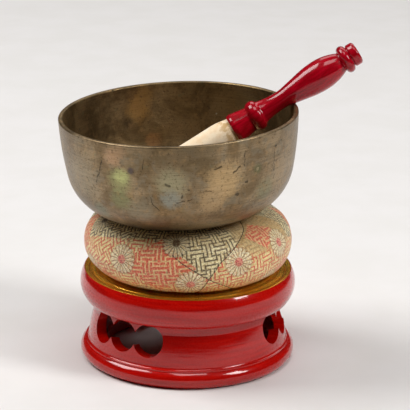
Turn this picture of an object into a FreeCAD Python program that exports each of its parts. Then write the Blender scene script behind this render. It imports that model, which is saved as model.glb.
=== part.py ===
import FreeCAD, Part
import math
import os

import Sketcher
from FreeCAD import Placement, Rotation, Vector

# A bronze altar bowl that lies on a round brocade cushion, on a turned and lacquered
# ring stand with three cusped windows, and a turned striker that leans in the bowl.
# Millimetres, +Z up, the origin at the centre of the stand's underside.

SIZES = [
    ("joint_gap", 0.1, "slack of a turned spigot in its rabbet"),
    ("rest_gap", 0.3, "gap under a piece that can be lifted off"),

    ("foot_sole_radius", 66.2, "outer edge of the face that stands on the table"),
    ("foot_spread", 0.7, "how far the foot ring's upper edge lies outside its sole"),
    ("foot_swell", 3.05, "how far the foot ring swells between its two edges"),
    ("foot_height", 10.4, "foot ring"),
    ("foot_relief", 1.2, "depth of the step inside the sole"),
    ("foot_relief_width", 4.2, "width of the step inside the sole"),

    ("drum_setback", 0.6, "how far the base moulding stands back from the foot ring"),
    ("drum_base_height", 1.1, "straight edge of the base moulding"),
    ("drum_step", 1.7, "how far the drum stands back over its base moulding"),
    ("drum_step_rise", 1.5, "height of the cove over the base moulding"),
    ("drum_cove", 1.6, "radius of that cove"),
    ("drum_height", 28.9, "drum between the foot ring and the thick ring"),
    ("drum_taper", 3.9, "how far the drum narrows from its foot to its waist"),
    ("drum_neck", 6.3, "straight part of the drum under the thick ring"),
    ("drum_sweep", 130.0, "radius of the drum's swelling side"),
    ("drum_wall", 6.2, "thickness of the drum at its waist"),
    ("drum_hollow", 3.2, "how far the drum's inside widens behind its swelling side"),
    ("drum_hollow_rise", 3.0, "height of the slope under that hollow"),
    ("spigot_depth", 3.2, "how far the drum's spigots enter their rabbets"),
    ("spigot_wall", 3.6, "thickness of the drum's spigots"),

    ("window_heading", -131.5, "direction of the first window, degrees from +X"),
    ("window_margin", 1.5, "from the windows' straight top edge to the thick ring"),
    ("lobe_cut", 0.4, "how much of a lobe's circle the straight top edge cuts off"),
    ("lobe_sill", 4.65, "from the base moulding to the lowest point of a lobe"),
    ("lobe_pitch", 17.8, "degrees between lobe centres"),

    ("ring_height", 19.7, "thick ring"),
    ("ring_overhang", 5.8, "how far the thick ring's lower edge stands over the drum"),
    ("ring_spread", 0.7, "how far its upper edge lies outside its lower edge"),
    ("ring_swell", 3.0, "how far the thick ring swells between its two edges"),
    ("ring_edge_width", 2.1, "width of the thick ring's rounded lower edge"),
    ("ring_edge_rise", 1.15, "height of that rounding"),
    ("ring_inset", 5.5, "how far the thick ring reaches inside the drum"),

    ("seat_lip", 0.4, "red edge left round the gilt ring"),
    ("seat_width", 20.0, "gilt ring"),
    ("seat_rabbet", 4.0, "depth of the rabbet that holds the gilt ring"),
    ("seat_drop", 0.8, "how far the gilt seat lies below the red edge"),
    ("seat_cove_width", 3.2, "hollow outer part of the gilt ring"),
    ("seat_inner_round", 0.8, "rounding of the gilt ring's inner edge"),
    ("board_thickness", 3.5, "board that closes the stand's top"),
    ("board_ledge", 3.0, "width of the ledge that carries the board"),

    ("cushion_bearing", 1.2, "how far the cushion's flat underside reaches over the seat"),
    ("cushion_side", 19.4, "radius of the cushion's rounded side"),
    ("cushion_crown", 4.7, "how far the crown rises over the rounded side"),
    ("cover_thickness", 1.2, "brocade cover with its lining"),
    ("filling_gap", 0.3, "between the cover and the filling"),
    ("patch_radius", 14.0, "round patches over the gathered centres"),
    ("patch_thickness", 1.0, "round patches"),
    ("patch_sink", 2.2, "depth of the upper patch's bed under the bowl"),
    ("gather_radius", 6.0, "hole that the gathered cover leaves"),
    ("thread_radius", 0.5, "gathering thread"),

    ("bowl_rim_radius", 76.1, "bowl's outer radius at the rim"),
    ("bowl_height", 69.0, "bowl"),
    ("bowl_wall", 3.0, "bowl's wall"),
    ("bowl_corner_radius", 33.7, "round corner between bottom and side"),
    ("bowl_flank", 37.2, "from the round corner's centre out to the rim"),
    ("bowl_bottom_rise", 5.2, "how far the bottom curves up to the round corner"),
    ("bowl_side_radius", 225.8, "radius of the bowl's slightly swelling side"),
    ("bowl_lip_round", 0.9, "rounding of the rim's two edges"),
    ("bowl_sink", 8.2, "how deep the bowl presses into the cushion"),
    ("bowl_shift_x", -4.0, "bowl's place on the cushion"),
    ("bowl_shift_y", -2.5, "bowl's place on the cushion"),
    ("bowl_lean", 2.76, "bowl's lean from upright, degrees"),
    ("bowl_lean_heading", 206.4, "direction that the bowl leans to, degrees from +X"),

    ("striker_heading", 8.0, "where the striker crosses the rim, degrees from +X"),
    ("knob_radius", 7.5, "flat disc at the handle's end"),
    ("knob_thickness", 5.7, "flat disc at the handle's end"),
    ("knob_round", 2.0, "rounding of the disc's face"),
    ("knob_back_round", 1.2, "rounding of the disc's back"),
    ("knob_groove", 0.3, "groove between the disc and the small bead"),
    ("knob_neck", 6.4, "handle on both sides of the small bead"),
    ("small_bead_rise", 2.85, "how far the small bead stands out"),
    ("small_bead_width", 6.2, "small bead"),
    ("grip_groove", 0.2, "groove between the small bead and the grip"),
    ("grip_front", 15.6, "length over which the grip swells"),
    ("grip_swell", 3.65, "how far the grip swells"),
    ("grip_back", 12.5, "length over which the grip rounds into its taper"),
    ("grip_fall", 1.3, "how far it narrows there"),
    ("taper_length", 12.0, "straight taper, as far as the bowl's rim"),
    ("taper_fall", 2.3, "how far the taper narrows the handle"),
    ("neck_run", 6.0, "from the bowl's rim to the thinnest place"),
    ("neck_fall", 0.65, "how far the handle narrows there"),
    ("flare_run", 11.9, "from the thinnest place to the flare"),
    ("flare_rise", 1.3, "how far the handle widens there"),
    ("flare_length", 2.9, "flare at the large bead"),
    ("flare_round", 3.4, "radius of the flare"),
    ("large_bead_step", 2.1, "how far the flare widens the handle"),
    ("large_bead_swell", 0.8, "how far the large bead swells"),
    ("large_bead_width", 5.6, "large bead"),
    ("collar_groove", 1.3, "groove between the large bead and the collar"),
    ("collar_length", 13.0, "collar"),
    ("collar_taper", 1.85, "how far the collar widens from the bead to its mouth"),
    ("collar_mouth_round", 2.6, "length of the collar's rounded mouth"),
    ("collar_mouth_fall", 0.65, "how far the rounded mouth narrows the collar"),
    ("collar_mouth_wall", 0.8, "thickness of the collar's mouth"),
    ("collar_mouth_depth", 4.0, "how far the head enters the collar"),
    ("tenon_wall", 1.4, "tenon round the core"),
    ("tenon_back", 1.0, "from the tenon's end to the root of the head"),
    ("core_radius", 4.0, "wooden core of the head"),
    ("core_depth", 14.0, "how far the core enters the handle"),
    ("head_length", 88.3, "head outside the collar"),
    ("head_radius", 9.7, "head of the striker"),
    ("head_tuck", 1.5, "how far the head is drawn in where it enters the collar"),
    ("head_swell", 11.8, "length over which the head swells"),
    ("head_swell_round", 90.0, "radius of the swelling's line"),
    ("leather_thickness", 1.2, "leather round the head"),
]

WINDOW_COUNT = 3
LOBES = (-1, 0, 1)
FULL_TURN = 360
QUARTER_TURN = 90
SEARCH_STEPS = 60
STEEPEST_REST = math.radians(80)
SMALLEST = 1e-7
CLOSE = 1e-4
UP = Vector(0, 0, 1)


class Term:
    """A size: its value now, and the expression that gives it."""

    def __init__(self, value, text):
        self.value = value
        self.text = text

    def joined(self, other, sign, value):
        text = other.text if isinstance(other, Term) else repr(other)
        return Term(value, "(%s %s %s)" % (self.text, sign, text))

    def __add__(self, other):
        return self.joined(other, "+", self.value + number(other))

    def __sub__(self, other):
        return self.joined(other, "-", self.value - number(other))

    def __mul__(self, other):
        return self.joined(other, "*", self.value * number(other))

    def __truediv__(self, other):
        return self.joined(other, "/", self.value / number(other))


ZERO = Term(0.0, "0")


def number(term):
    return term.value if isinstance(term, Term) else float(term)


def root(term):
    return Term(math.sqrt(term.value), "sqrt(%s)" % term.text)


def arc_radius(chord, rise):
    """Radius of the arc that rises by rise over a chord."""
    return (chord * chord / 4 + rise * rise) / (rise * 2)


def easing_radius(run, rise):
    """Radius of the arc that ends level after a run and a rise."""
    return (run * run + rise * rise) / (rise * 2)


class Sheet:
    """A spreadsheet whose cells are read as terms by their aliases."""

    def __init__(self, doc, name):
        self.name = name
        self.cells = doc.addObject("Spreadsheet::Sheet", name)
        self.values = {}

    def put(self, alias, value, content, meaning):
        row = len(self.values) + 1
        self.cells.set("A%d" % row, alias)
        self.cells.set("B%d" % row, content)
        self.cells.setAlias("B%d" % row, alias)
        self.cells.set("C%d" % row, meaning)
        self.values[alias] = value

    def size(self, alias, value, meaning):
        self.put(alias, float(value), str(value), meaning)

    def fit(self, alias, term, meaning):
        """Keep a worked-out value in a cell of its own, as a formula."""
        self.put(alias, term.value, "=" + term.text.replace(self.name + ".", ""), meaning)

    def __getattr__(self, alias):
        if alias not in self.values:
            raise AttributeError(alias)
        return Term(self.values[alias], "%s.%s" % (self.name, alias))


def make_sizes(doc):
    sheet = Sheet(doc, "Sizes")
    for alias, value, meaning in SIZES:
        sheet.size(alias, value, meaning)
    return sheet


def make_fits(doc, s):
    """Values that several pieces share, worked out from the sizes."""
    f = Sheet(doc, "Fits")
    stand_fits(s, f)
    cushion_fits(s, f)
    bowl_fits(s, f)
    striker_fits(s, f)
    return f


def stand_fits(s, f):
    f.fit("foot_top_radius", s.foot_sole_radius + s.foot_spread, "groove over the foot")
    f.fit("drum_base_radius", f.foot_top_radius - s.drum_setback, "base moulding")
    f.fit("drum_step_radius", f.drum_base_radius - s.drum_step, "drum over its moulding")
    f.fit("drum_waist_radius", f.drum_step_radius - s.drum_taper, "drum's narrowest part")
    f.fit("drum_bore", f.drum_waist_radius - s.drum_wall, "inside of the drum")
    f.fit("spigot_outer", f.drum_bore + s.spigot_wall, "drum's spigots, outside")
    f.fit("drum_base_top", s.foot_height + s.drum_base_height, "top of the moulding's edge")
    f.fit("drum_step_top", f.drum_base_top + s.drum_step_rise, "top of the cove")
    f.fit("ring_base", s.foot_height + s.drum_height, "underside of the thick ring")

    f.fit("window_top", f.ring_base - s.window_margin, "straight top of the windows")
    f.fit("lobe_bottom", f.drum_step_top + s.lobe_sill, "lowest point of the windows")
    f.fit("lobe_radius", (f.window_top + s.lobe_cut - f.lobe_bottom) / 2, "round lobes")
    f.fit("lobe_height", f.lobe_bottom + f.lobe_radius, "centres of the lobes")

    f.fit("ring_edge_radius", f.drum_waist_radius + s.ring_overhang, "thick ring's foot")
    f.fit("ring_lip_radius", f.ring_edge_radius + s.ring_spread, "thick ring's top")
    f.fit("ring_bore", f.drum_bore - s.ring_inset, "inside of the thick ring")
    f.fit("ring_top", f.ring_base + s.ring_height, "upper edge of the thick ring")
    f.fit("seat_floor", f.ring_top - s.seat_rabbet, "floor of the gilt ring's rabbet")
    f.fit("seat_level", f.ring_top - s.seat_drop, "gilt seat")
    f.fit("seat_outer", f.ring_lip_radius - s.seat_lip, "gilt ring, outside")
    f.fit("seat_inner", f.seat_outer - s.seat_width, "gilt ring, inside")
    f.fit("board_radius", f.ring_bore + s.board_ledge, "recess of the board")
    f.fit("board_base", f.seat_floor - s.board_thickness, "underside of the board")


def cushion_fits(s, f):
    side = s.cushion_side
    f.fit("cushion_height", side * 2 + s.cushion_crown, "cushion before it is pressed")
    f.fit("cushion_base", f.seat_level + s.rest_gap, "underside of the cushion")
    f.fit("side_reach", f.seat_inner + s.cushion_bearing, "centre of the rounded side")
    f.fit("side_level", f.cushion_base + side, "centre of the rounded side")
    f.fit("crown_top", f.cushion_base + f.cushion_height, "crown before it is pressed")
    rise = f.crown_top - f.side_level
    reach = f.side_reach * f.side_reach + rise * rise - side * side
    f.fit("crown_radius", reach / (s.cushion_crown * 2), "radius of the crown")
    f.fit("crown_span", f.crown_radius - side, "between the two arcs' centres")
    f.fit("crown_out", f.side_reach / f.crown_span, "slope where the two arcs meet")
    up = f.side_level - f.crown_top + f.crown_radius
    f.fit("crown_up", up / f.crown_span, "slope where the two arcs meet")
    f.fit("bowl_base", f.crown_top - s.bowl_sink, "bottom of the bowl")
    f.fit("patch_bed", f.bowl_base - s.patch_sink, "bed of the upper patch")
    f.fit("lower_bed", f.cushion_base + s.patch_thickness, "bed of the lower patch")


def bowl_fits(s, f):
    """The bottom, corner and side are three arcs, each of which runs on from the last."""
    corner = s.bowl_corner_radius
    f.fit("corner_reach", s.bowl_rim_radius - s.bowl_flank, "centre of the round corner")
    f.fit("corner_height", corner + s.bowl_bottom_rise, "centre of the round corner")
    reach = f.corner_reach * f.corner_reach + f.corner_height * f.corner_height
    f.fit("bottom_radius", (reach - corner * corner) / (s.bowl_bottom_rise * 2),
          "radius of the bottom")
    f.fit("bottom_span", f.bottom_radius - corner, "between the two arcs' centres")
    f.fit("bottom_out", f.corner_reach / f.bottom_span, "where bottom meets corner")
    f.fit("bottom_up", (f.corner_height - f.bottom_radius) / f.bottom_span,
          "where bottom meets corner")

    side = s.bowl_side_radius
    f.fit("rim_rise", s.bowl_height - f.corner_height, "rim over the corner's centre")
    f.fit("rim_far", s.bowl_flank * s.bowl_flank + f.rim_rise * f.rim_rise,
          "square of the distance from the corner's centre to the rim")
    f.fit("side_span", side - corner, "between the two arcs' centres")
    f.fit("side_along", (f.side_span * f.side_span - side * side + f.rim_far)
          / (f.rim_far * 2), "side's centre, along the line to the rim")
    f.fit("side_across", root(f.side_span * f.side_span / f.rim_far
          - f.side_along * f.side_along), "side's centre, square to that line")
    f.fit("side_out", (f.side_across * f.rim_rise - f.side_along * s.bowl_flank)
          / f.side_span, "where corner meets side")
    f.fit("side_up", (f.side_across * s.bowl_flank + f.side_along * f.rim_rise)
          / f.side_span * -1, "where corner meets side")
    f.fit("side_centre_out", f.corner_reach - f.side_span * f.side_out, "side's centre")
    f.fit("side_centre_up", f.corner_height - f.side_span * f.side_up, "side's centre")


def striker_fits(s, f):
    """Stations count from the face of the knob."""
    f.fit("small_bead_start", s.knob_thickness + s.knob_groove, "small bead")
    f.fit("small_bead_end", f.small_bead_start + s.small_bead_width, "small bead")
    f.fit("grip_start", f.small_bead_end + s.grip_groove, "start of the grip")
    f.fit("grip_crest", f.grip_start + s.grip_front, "thickest place of the grip")
    f.fit("grip_radius", s.knob_neck + s.grip_swell, "grip at its thickest")
    f.fit("taper_start", f.grip_crest + s.grip_back, "start of the straight taper")
    f.fit("taper_radius", f.grip_radius - s.grip_fall, "handle there")
    f.fit("rest_station", f.taper_start + s.taper_length, "place over the bowl's rim")
    f.fit("rest_radius", f.taper_radius - s.taper_fall, "handle there")
    f.fit("neck_station", f.rest_station + s.neck_run, "thinnest place")
    f.fit("neck_radius", f.rest_radius - s.neck_fall, "handle there")
    f.fit("flare_start", f.neck_station + s.flare_run, "start of the flare")
    f.fit("flare_radius", f.neck_radius + s.flare_rise, "handle there")
    f.fit("large_bead_start", f.flare_start + s.flare_length, "large bead")
    f.fit("large_bead_edge", f.flare_radius + s.large_bead_step, "edge of the large bead")
    f.fit("large_bead_end", f.large_bead_start + s.large_bead_width, "large bead")

    f.fit("collar_start", f.large_bead_end + s.collar_groove, "foot of the collar")
    f.fit("collar_end", f.collar_start + s.collar_length, "mouth of the collar")
    f.fit("head_start", f.collar_end - s.collar_mouth_depth, "root of the head")
    f.fit("head_root", s.head_radius - s.head_tuck, "head inside the collar's mouth")
    f.fit("mouth_inner", f.head_root + s.joint_gap, "collar's mouth, inside")
    f.fit("mouth_outer", f.mouth_inner + s.collar_mouth_wall, "collar's mouth, outside")
    f.fit("collar_radius", f.mouth_outer + s.collar_mouth_fall, "collar at its widest")
    f.fit("collar_foot_radius", f.collar_radius - s.collar_taper, "foot of the collar")
    f.fit("core_socket", s.core_radius + s.joint_gap, "hole round the core")
    f.fit("tenon_radius", f.core_socket + s.tenon_wall, "tenon that holds the collar")
    f.fit("tenon_end", f.head_start - s.tenon_back, "end of the tenon")
    f.fit("core_start", f.tenon_end - s.core_depth, "inner end of the core")
    f.fit("swell_end", f.collar_end + s.head_swell, "where the head is full")
    f.fit("head_tip", f.collar_end + s.head_length, "tip of the head")
    f.fit("dome_station", f.head_tip - s.head_radius, "centre of the head's dome")


def origin_plane(body, role):
    for feature in body.Origin.OriginFeatures:
        if feature.Role == role:
            return feature
    raise ValueError("no plane " + role)


def new_sketch(body, name):
    """A sketch in the upright plane through the body's axis."""
    sketch = body.newObject("Sketcher::SketchObject", name)
    sketch.AttachmentSupport = (origin_plane(body, "XZ_Plane"), [""])
    sketch.MapMode = "FlatFace"
    return sketch


def bind(sketch, kind, place, term):
    """Add one measured constraint and tie it to its expression."""
    index = sketch.addConstraint(Sketcher.Constraint(kind, *place, number(term)))
    sketch.setExpression("Constraints[%d]" % index, term.text)


def on_upright_axis(piece, end):
    """Keep an end, or a centre (3), on the sketch's upright axis, its curve number -2."""
    return Sketcher.Constraint("PointOnObject", piece, end, -2)


def pin_point(sketch, piece, end, radius, height):
    """Fix an end of a curve at a radius and a height, either of which may be zero."""
    if radius is ZERO:
        sketch.addConstraint(on_upright_axis(piece, end))
    else:
        bind(sketch, "DistanceX", (-1, 1, piece, end), radius)
    if height is ZERO:
        sketch.addConstraint(Sketcher.Constraint("PointOnObject", piece, end, -1))
    else:
        bind(sketch, "DistanceY", (-1, 1, piece, end), height)


def arc_between(start, end, radius, turn):
    """The short arc from start to end, which turns left (1) or right (-1) on its way."""
    chord = end - start
    middle = (start + end) * 0.5
    rise = math.sqrt(max(radius ** 2 - (chord.Length / 2) ** 2, SMALLEST))
    left = Vector(-chord.y, chord.x, 0).normalize()
    centre = middle + left * (rise * turn)
    first, last = (start, end) if turn > 0 else (end, start)
    begin = math.atan2(first.y - centre.y, first.x - centre.x)
    finish = math.atan2(last.y - centre.y, last.x - centre.x)
    if finish < begin:
        finish += 2 * math.pi
    return Part.ArcOfCircle(Part.Circle(centre, UP, radius), begin, finish)


def draw_outline(sketch, points, arcs):
    """A closed outline; arcs gives the radius and turn of the sides that are round."""
    spots = [Vector(number(radius), number(height), 0) for radius, height in points]
    count = len(points)
    ends = []
    for side in range(count):
        start = spots[side]
        end = spots[(side + 1) % count]
        if side in arcs:
            radius, turn = arcs[side]
            sketch.addGeometry(arc_between(start, end, number(radius), turn), False)
            ends.append((1, 2) if turn > 0 else (2, 1))
        else:
            sketch.addGeometry(Part.LineSegment(start, end), False)
            ends.append((1, 2))
    for side in range(count):
        following = (side + 1) % count
        place = (side, ends[side][1], following, ends[following][0])
        sketch.addConstraint(Sketcher.Constraint("Coincident", *place))
    for side, (radius, height) in enumerate(points):
        pin_point(sketch, side, ends[side][0], radius, height)
    for side, (radius, turn) in arcs.items():
        bind(sketch, "Radius", (side,), radius)


def turned_body(doc, label, points, arcs=None):
    """A piece turned about its own Z axis from an outline."""
    body = doc.addObject("PartDesign::Body", label)
    body.Label = label
    sketch = new_sketch(body, "Outline")
    draw_outline(sketch, points, arcs or {})
    turned = body.newObject("PartDesign::Revolution", "Turned")
    turned.Profile = sketch
    turned.ReferenceAxis = (sketch, ["V_Axis"])
    turned.Angle = FULL_TURN
    return body


def round_circles(doc, body, height, radius):
    """Round the circular edges that lie at a height."""
    doc.recompute()
    base = body.Tip
    names = []
    for index, edge in enumerate(base.Shape.Edges, start=1):
        if abs(edge.CenterOfMass.z - height) < CLOSE:
            names.append("Edge%d" % index)
    fillet = body.newObject("PartDesign::Fillet", "Rounding")
    fillet.Base = (base, names)
    fillet.Radius = radius.value
    fillet.setExpression("Radius", radius.text)


def combine(doc, kind, label, **inputs):
    """A boolean of finished shapes."""
    result = doc.addObject(kind, label)
    result.Label = label
    for name, value in inputs.items():
        setattr(result, name, value)
    return result


def cylinder(doc, name, radius, bottom, height):
    """A cylinder on the Z axis."""
    piece = doc.addObject("Part::Cylinder", name)
    piece.setExpression("Radius", radius.text)
    piece.setExpression("Height", height.text)
    piece.setExpression("Placement.Base.z", bottom.text)
    return piece


def bulge_radius(height, lean, swell):
    """Radius of a side that rises, leans by a little and swells between its ends."""
    return arc_radius(root(height * height + lean * lean), swell)


def foot_ring(doc, s, f):
    sole_inner = f.drum_bore + s.foot_relief_width
    rabbet = f.spigot_outer + s.joint_gap
    floor = s.foot_height - s.spigot_depth - s.joint_gap
    points = [
        (sole_inner, ZERO),
        (s.foot_sole_radius, ZERO),
        (f.foot_top_radius, s.foot_height),
        (rabbet, s.foot_height),
        (rabbet, floor),
        (f.drum_bore, floor),
        (f.drum_bore, s.foot_relief),
        (sole_inner, s.foot_relief),
    ]
    bulge = bulge_radius(s.foot_height, s.foot_spread, s.foot_swell)
    return turned_body(doc, "foot_ring", points, {1: (bulge, 1)})


def lobe_pocket(body, s, f, lobe):
    """Cut one round lobe of the first window straight out through the drum's side."""
    sketch = new_sketch(body, "Lobe")
    spin = Vector(0, 1, 0)
    heading = s.window_heading + QUARTER_TURN + s.lobe_pitch * lobe
    sketch.AttachmentOffset = Placement(Vector(), Rotation(spin, heading.value))
    sketch.setExpression("AttachmentOffset.Rotation.Angle", heading.text)
    radius = f.lobe_radius.value
    top = f.window_top.value - f.lobe_height.value
    side = math.acos(top / radius)
    centre = Vector(0, f.lobe_height.value, 0)
    begin = math.pi / 2 + side
    finish = begin + 2 * (math.pi - side)
    circle = Part.Circle(centre, UP, radius)
    sketch.addGeometry(Part.ArcOfCircle(circle, begin, finish), False)
    half = radius * math.sin(side)
    left = Vector(-half, f.window_top.value, 0)
    right = Vector(half, f.window_top.value, 0)
    sketch.addGeometry(Part.LineSegment(right, left), False)
    sketch.addConstraint(Sketcher.Constraint("Coincident", 0, 2, 1, 1))
    sketch.addConstraint(Sketcher.Constraint("Coincident", 1, 2, 0, 1))
    sketch.addConstraint(on_upright_axis(0, 3))
    sketch.addConstraint(Sketcher.Constraint("Horizontal", 1))
    bind(sketch, "DistanceY", (-1, 1, 0, 3), f.lobe_height)
    bind(sketch, "DistanceY", (-1, 1, 1, 1), f.window_top)
    bind(sketch, "Radius", (0,), f.lobe_radius)
    pocket = body.newObject("PartDesign::Pocket", "LobeCut")
    pocket.Profile = sketch
    pocket.Reversed = True
    pocket.setExpression("Length", (f.drum_base_radius * 2).text)
    return pocket


def openwork_drum(doc, s, f):
    spigot_low = s.foot_height - s.spigot_depth
    spigot_high = f.ring_base + s.spigot_depth
    points = [
        (f.drum_bore, spigot_low),
        (f.spigot_outer, spigot_low),
        (f.spigot_outer, s.foot_height),
        (f.drum_base_radius, s.foot_height),
        (f.drum_base_radius, f.drum_base_top),
        (f.drum_step_radius, f.drum_step_top),
        (f.drum_waist_radius, f.ring_base - s.drum_neck),
        (f.drum_waist_radius, f.ring_base),
        (f.spigot_outer, f.ring_base),
        (f.spigot_outer, spigot_high),
        (f.drum_bore, spigot_high),
        (f.drum_bore, f.ring_base - s.drum_neck),
        (f.drum_bore + s.drum_hollow, s.foot_height + s.drum_hollow_rise),
        (f.drum_bore, s.foot_height),
    ]
    arcs = {4: (s.drum_cove, -1), 5: (s.drum_sweep, 1)}
    body = turned_body(doc, "openwork_drum", points, arcs)
    doc.recompute()
    whole = body.Shape.Volume
    pockets = [lobe_pocket(body, s, f, lobe) for lobe in LOBES]
    doc.recompute()
    one_window = whole - body.Shape.Volume
    windows = body.newObject("PartDesign::PolarPattern", "Windows")
    windows.Originals = pockets
    windows.Axis = (body.Group[0], ["V_Axis"])
    windows.Angle = FULL_TURN
    windows.Occurrences = WINDOW_COUNT
    body.Tip = windows
    doc.recompute()
    all_windows = whole - body.Shape.Volume
    print("drum windows cut", round(one_window, 1), round(all_windows, 1))
    if one_window <= 0 or all_windows < one_window * (WINDOW_COUNT - 0.5):
        raise ValueError("the drum's windows were not all cut")
    return body


def top_ring(doc, s, f):
    groove_inner = f.drum_bore - s.joint_gap
    groove_outer = f.spigot_outer + s.joint_gap
    groove_top = f.ring_base + s.spigot_depth + s.joint_gap
    rabbet = f.seat_outer + s.joint_gap
    edge_top = f.ring_base + s.ring_edge_rise
    points = [
        (f.ring_bore, f.ring_base),
        (groove_inner, f.ring_base),
        (groove_inner, groove_top),
        (groove_outer, groove_top),
        (groove_outer, f.ring_base),
        (f.ring_edge_radius - s.ring_edge_width, f.ring_base),
        (f.ring_edge_radius, edge_top),
        (f.ring_lip_radius, f.ring_top),
        (rabbet, f.ring_top),
        (rabbet, f.seat_floor),
        (f.board_radius, f.seat_floor),
        (f.board_radius, f.board_base),
        (f.ring_bore, f.board_base),
    ]
    bulge = bulge_radius(f.ring_top - edge_top, s.ring_spread, s.ring_swell)
    arcs = {5: (easing_radius(s.ring_edge_width, s.ring_edge_rise), 1), 6: (bulge, 1)}
    return turned_body(doc, "top_ring", points, arcs)


def gilt_seat_ring(doc, s, f):
    cove = s.seat_cove_width
    inner_top = f.seat_level - s.seat_inner_round
    points = [
        (f.seat_inner, f.seat_floor),
        (f.seat_outer, f.seat_floor),
        (f.seat_outer, f.ring_top),
        (f.seat_outer - cove, f.seat_level),
        (f.seat_inner + s.seat_inner_round, f.seat_level),
        (f.seat_inner, inner_top),
    ]
    arcs = {2: (easing_radius(cove, s.seat_drop), -1), 4: (s.seat_inner_round, 1)}
    return turned_body(doc, "gilt_seat_ring", points, arcs)


def seat_board(doc, s, f):
    edge = f.board_radius - s.joint_gap
    points = [(ZERO, f.board_base), (edge, f.board_base), (edge, f.seat_floor),
              (ZERO, f.seat_floor)]
    return turned_body(doc, "seat_board", points)


def bowl_outline(s, f, offset, bottom):
    """Points and radii of the bowl's outside, grown or shrunk by an offset."""
    corner = s.bowl_corner_radius + offset
    side = s.bowl_side_radius + offset
    low = s.bowl_height - f.side_centre_up
    rim = f.side_centre_out + root(side * side - low * low)
    points = [
        (ZERO, bottom),
        (f.corner_reach + corner * f.bottom_out, f.corner_height + corner * f.bottom_up),
        (f.corner_reach + corner * f.side_out, f.corner_height + corner * f.side_up),
        (rim, s.bowl_height),
    ]
    return points, [f.bottom_radius + offset, corner, side]


def bowl(doc, s, f):
    outside, outer_radii = bowl_outline(s, f, ZERO, ZERO)
    inside, inner_radii = bowl_outline(s, f, ZERO - s.bowl_wall, s.bowl_wall)
    arcs = {side: (radius, 1) for side, radius in enumerate(outer_radii)}
    for side, radius in enumerate(reversed(inner_radii)):
        arcs[len(outside) + side] = (radius, -1)
    body = turned_body(doc, "bowl", outside + inside[::-1], arcs)
    round_circles(doc, body, s.bowl_height.value, s.bowl_lip_round)
    return body


def bowl_print(doc, s, f, name, gap):
    """The bowl's outside grown by a gap, to press into the cushion."""
    outside, radii = bowl_outline(s, f, gap, ZERO - gap)
    arcs = {side: (radius, 1) for side, radius in enumerate(radii)}
    return turned_body(doc, name, outside + [(ZERO, s.bowl_height)], arcs)


def cushion_form(doc, s, f, name, inset, placement):
    """The cushion's outer form, drawn in by an inset, with the bowl pressed in."""
    side = s.cushion_side - inset
    base = f.cushion_base + inset
    points = [
        (ZERO, base),
        (f.side_reach, base),
        (f.side_reach + side * f.crown_out, f.side_level + side * f.crown_up),
        (ZERO, f.crown_top - inset),
    ]
    arcs = {1: (side, 1), 2: (f.crown_radius - inset, 1)}
    puff = turned_body(doc, name + "_puff", points, arcs)
    dish = bowl_print(doc, s, f, name + "_dish", s.rest_gap + inset)
    dish.Placement = placement
    reach = s.patch_radius + s.joint_gap + inset
    upper = cylinder(doc, name + "_upper", reach, f.patch_bed - inset, f.cushion_height)
    lower = cylinder(doc, name + "_lower", reach, f.lower_bed + inset - f.cushion_height,
                     f.cushion_height)
    hollows = combine(doc, "Part::MultiFuse", name + "_hollows", Shapes=[dish, upper, lower])
    return combine(doc, "Part::Cut", name, Base=puff, Tool=hollows)


def cushion(doc, s, f, placement):
    """The cover, its filling, and the patches and threads at its two centres."""
    outer = cushion_form(doc, s, f, "outer_form", ZERO, placement)
    inner = cushion_form(doc, s, f, "inner_form", s.cover_thickness, placement)
    shell = combine(doc, "Part::Cut", "cover_shell", Base=outer, Tool=inner)
    hole = cylinder(doc, "gather_hole", s.gather_radius, f.cushion_base,
                    f.cushion_height)
    cover = combine(doc, "Part::Cut", "cushion_cover", Base=shell, Tool=hole)
    inset = s.cover_thickness + s.filling_gap
    filling = cushion_form(doc, s, f, "cushion_filling", inset, placement)
    half_cover = s.cover_thickness / 2
    pieces = [cover, filling]
    beds = {
        "top": (f.patch_bed, f.patch_bed - half_cover),
        "bottom": (f.cushion_base, f.lower_bed + half_cover),
    }
    for place, (patch_base, thread_level) in beds.items():
        pieces.append(patch(doc, s, "cushion_%s_patch" % place, patch_base))
        pieces.append(gather_thread(doc, s, place + "_gather_thread", thread_level))
    return pieces


def patch(doc, s, label, base):
    top = base + s.patch_thickness
    points = [(ZERO, base), (s.patch_radius, base), (s.patch_radius, top), (ZERO, top)]
    return turned_body(doc, label, points)


def gather_thread(doc, s, label, level):
    thread = doc.addObject("Part::Torus", label)
    thread.Label = label
    thread.setExpression("Radius1", (s.gather_radius - s.rest_gap - s.thread_radius).text)
    thread.setExpression("Radius2", s.thread_radius.text)
    thread.setExpression("Placement.Base.z", level.text)
    return thread


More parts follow.
